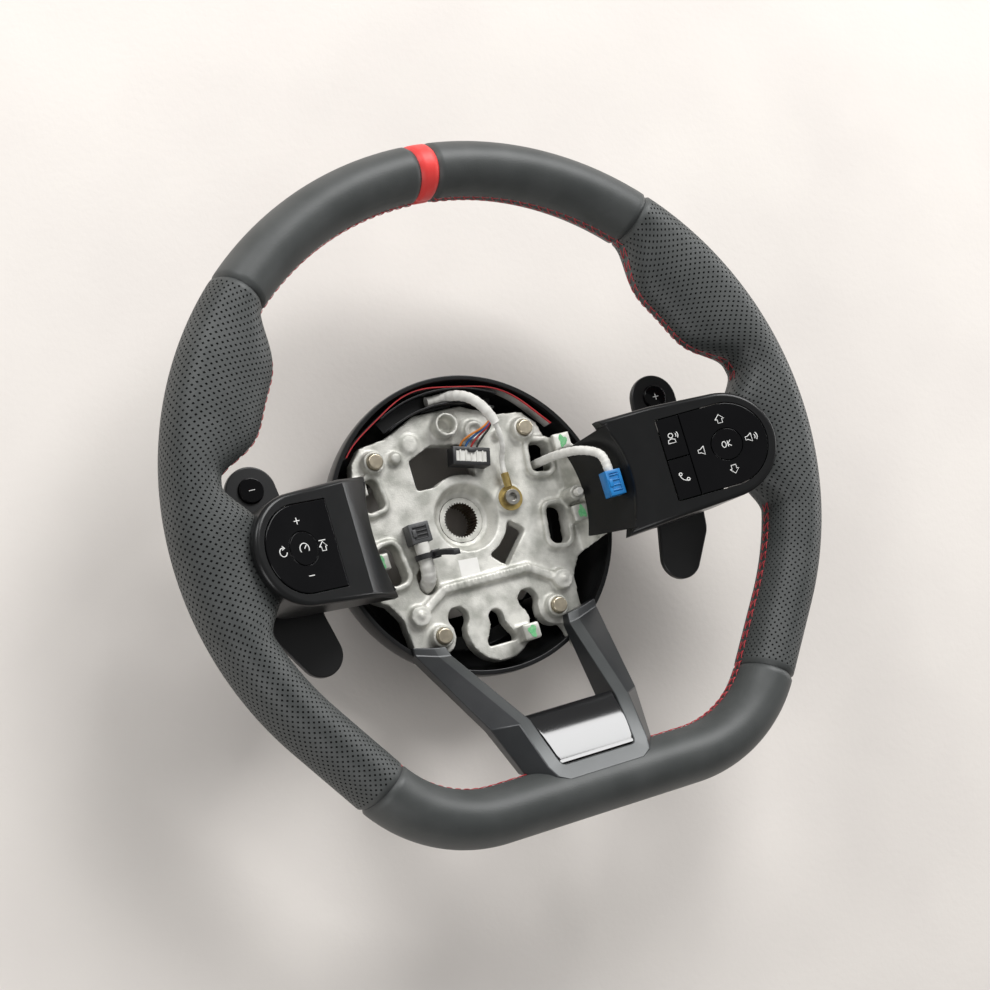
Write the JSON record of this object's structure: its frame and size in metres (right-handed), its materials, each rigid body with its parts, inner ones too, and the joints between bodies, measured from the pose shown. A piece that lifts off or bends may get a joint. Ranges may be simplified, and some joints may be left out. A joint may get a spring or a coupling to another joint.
{
  "type": "car steering wheel",
  "caption": "Flat-bottomed car steering wheel without its airbag: leather rim on a die-cast hub with thumb switches, shift paddles and open wiring.",
  "frame": {"origin": "centre of the splined bore, at the face of its steel bush inside the hub dish", "axes": "+Z along the bore towards the driver, +Y to 12 o'clock on the rim, +X to the driver's right"},
  "size_m": [0.37, 0.3635, 0.12],
  "materials": {
    "casting": "as-cast, fine grained",
    "bush_steel": "broached, oiled",
    "stud_metal": "yellow passivated",
    "leather": "smooth grain, satin",
    "perforated_leather": "perforated, satin",
    "red_leather": "smooth grain, satin",
    "foam": "moulded polyurethane foam",
    "satin_black": "satin",
    "gloss_black": "piano gloss",
    "grey_trim": "satin paint",
    "board": "solder resist",
    "silicone": "matt",
    "screw_steel": "zinc plated",
    "brass": "stamped",
    "white_tape": "wound tape",
    "ribbon": "flexible flat cable",
    "blue_plastic": "moulded",
    "white_plastic": "moulded"
  },
  "bodies": {
    "wheel": {"airbag_connector": "satin_black", "airbag_studs": "stud_metal", "armature": "casting", "blue_connector": "blue_plastic", "cable_guide": "satin_black", "cable_tie": "satin_black", "centre_marker": "red_leather", "cover_screws": "screw_steel", "ground_screw": "screw_steel", "ground_terminal": "brass", "housing_screws": "screw_steel", "leather_bottom": "leather", "leather_grip_left": "perforated_leather", "leather_grip_right": "perforated_leather", "leather_top_left": "leather", "leather_top_right": "leather", "left_dome_mat": "silicone", "left_paddle_carrier": "satin_black", "left_switch_board": "board", "left_switch_housing": "satin_black", "locating_pin": "white_plastic", "loom_connector": "satin_black", "lower_spoke_insert": "gloss_black", "lower_spoke_trim": "grey_trim", "main_loom": "white_tape", "paddle_hinge_pins": "screw_steel", "rear_hub_cover": "satin_black", "ribbon_cable": "ribbon", "right_dome_mat": "silicone", "right_paddle_carrier": "satin_black", "right_switch_board": "board", "right_switch_housing": "satin_black", "rim_foam": "foam", "spline_insert": "bush_steel", "switch_lead": "white_tape", "taped_lead": "white_tape"},
    "left_paddle": {"left_paddle": "satin_black", "left_paddle_disc": "gloss_black"},
    "right_paddle": {"right_paddle": "satin_black", "right_paddle_disc": "gloss_black"},
    "left_rocker_frame": {"left_rocker_frame": "grey_trim"},
    "right_rocker_frame": {"right_rocker_frame": "grey_trim"},
    "left_rocker_pad": {"left_rocker_pad": "gloss_black"},
    "right_rocker_pad": {"right_rocker_pad": "gloss_black"},
    "left_centre_button": {"left_centre_button": "gloss_black"},
    "right_centre_button": {"right_centre_button": "gloss_black"},
    "voice_key": {"voice_key": "gloss_black"},
    "phone_key": {"phone_key": "gloss_black"}
  },
  "joints": [
    {"name": "left_paddle_pull", "type": "hinge", "parent": "wheel", "child": "left_paddle", "pos_m": [-0.084, -0.0036, 0.0255], "axis": [0, 1, 0], "range_deg": [-4, 4], "stiffness_Nm_per_rad": 3},
    {"name": "left_rocker_across", "type": "hinge", "parent": "wheel", "child": "left_rocker_frame", "pos_m": [-0.12598, -0.0036, 0.08143], "axis": [0, 1, 0], "range_deg": [-2, 2], "stiffness_Nm_per_rad": 0.6},
    {"name": "left_rocker_along", "type": "hinge", "parent": "left_rocker_frame", "child": "left_rocker_pad", "pos_m": [-0.12598, -0.0036, 0.08143], "axis": [-0.9511, 0, 0.309], "range_deg": [-2, 2], "stiffness_Nm_per_rad": 0.6},
    {"name": "left_button_press", "type": "slide", "parent": "left_rocker_pad", "child": "left_centre_button", "axis": [-0.309, 0, -0.9511], "range_m": [0, 0.0008], "stiffness_N_per_m": 1500},
    {"name": "right_paddle_pull", "type": "hinge", "parent": "wheel", "child": "right_paddle", "pos_m": [0.084, -0.0036, 0.0255], "axis": [0, 1, 0], "range_deg": [-4, 4], "stiffness_Nm_per_rad": 3},
    {"name": "right_rocker_across", "type": "hinge", "parent": "wheel", "child": "right_rocker_frame", "pos_m": [0.12598, -0.0036, 0.08143], "axis": [0, 1, 0], "range_deg": [-2, 2], "stiffness_Nm_per_rad": 0.6},
    {"name": "right_rocker_along", "type": "hinge", "parent": "right_rocker_frame", "child": "right_rocker_pad", "pos_m": [0.12598, -0.0036, 0.08143], "axis": [0.9511, 0, 0.309], "range_deg": [-2, 2], "stiffness_Nm_per_rad": 0.6},
    {"name": "right_button_press", "type": "slide", "parent": "right_rocker_pad", "child": "right_centre_button", "axis": [0.309, 0, -0.9511], "range_m": [0, 0.0008], "stiffness_N_per_m": 1500},
    {"name": "voice_press", "type": "slide", "parent": "wheel", "child": "voice_key", "axis": [0.309, 0, -0.9511], "range_m": [0, 0.0008], "stiffness_N_per_m": 1500},
    {"name": "phone_press", "type": "slide", "parent": "wheel", "child": "phone_key", "axis": [0.309, 0, -0.9511], "range_m": [0, 0.0008], "stiffness_N_per_m": 1500}
  ]
}
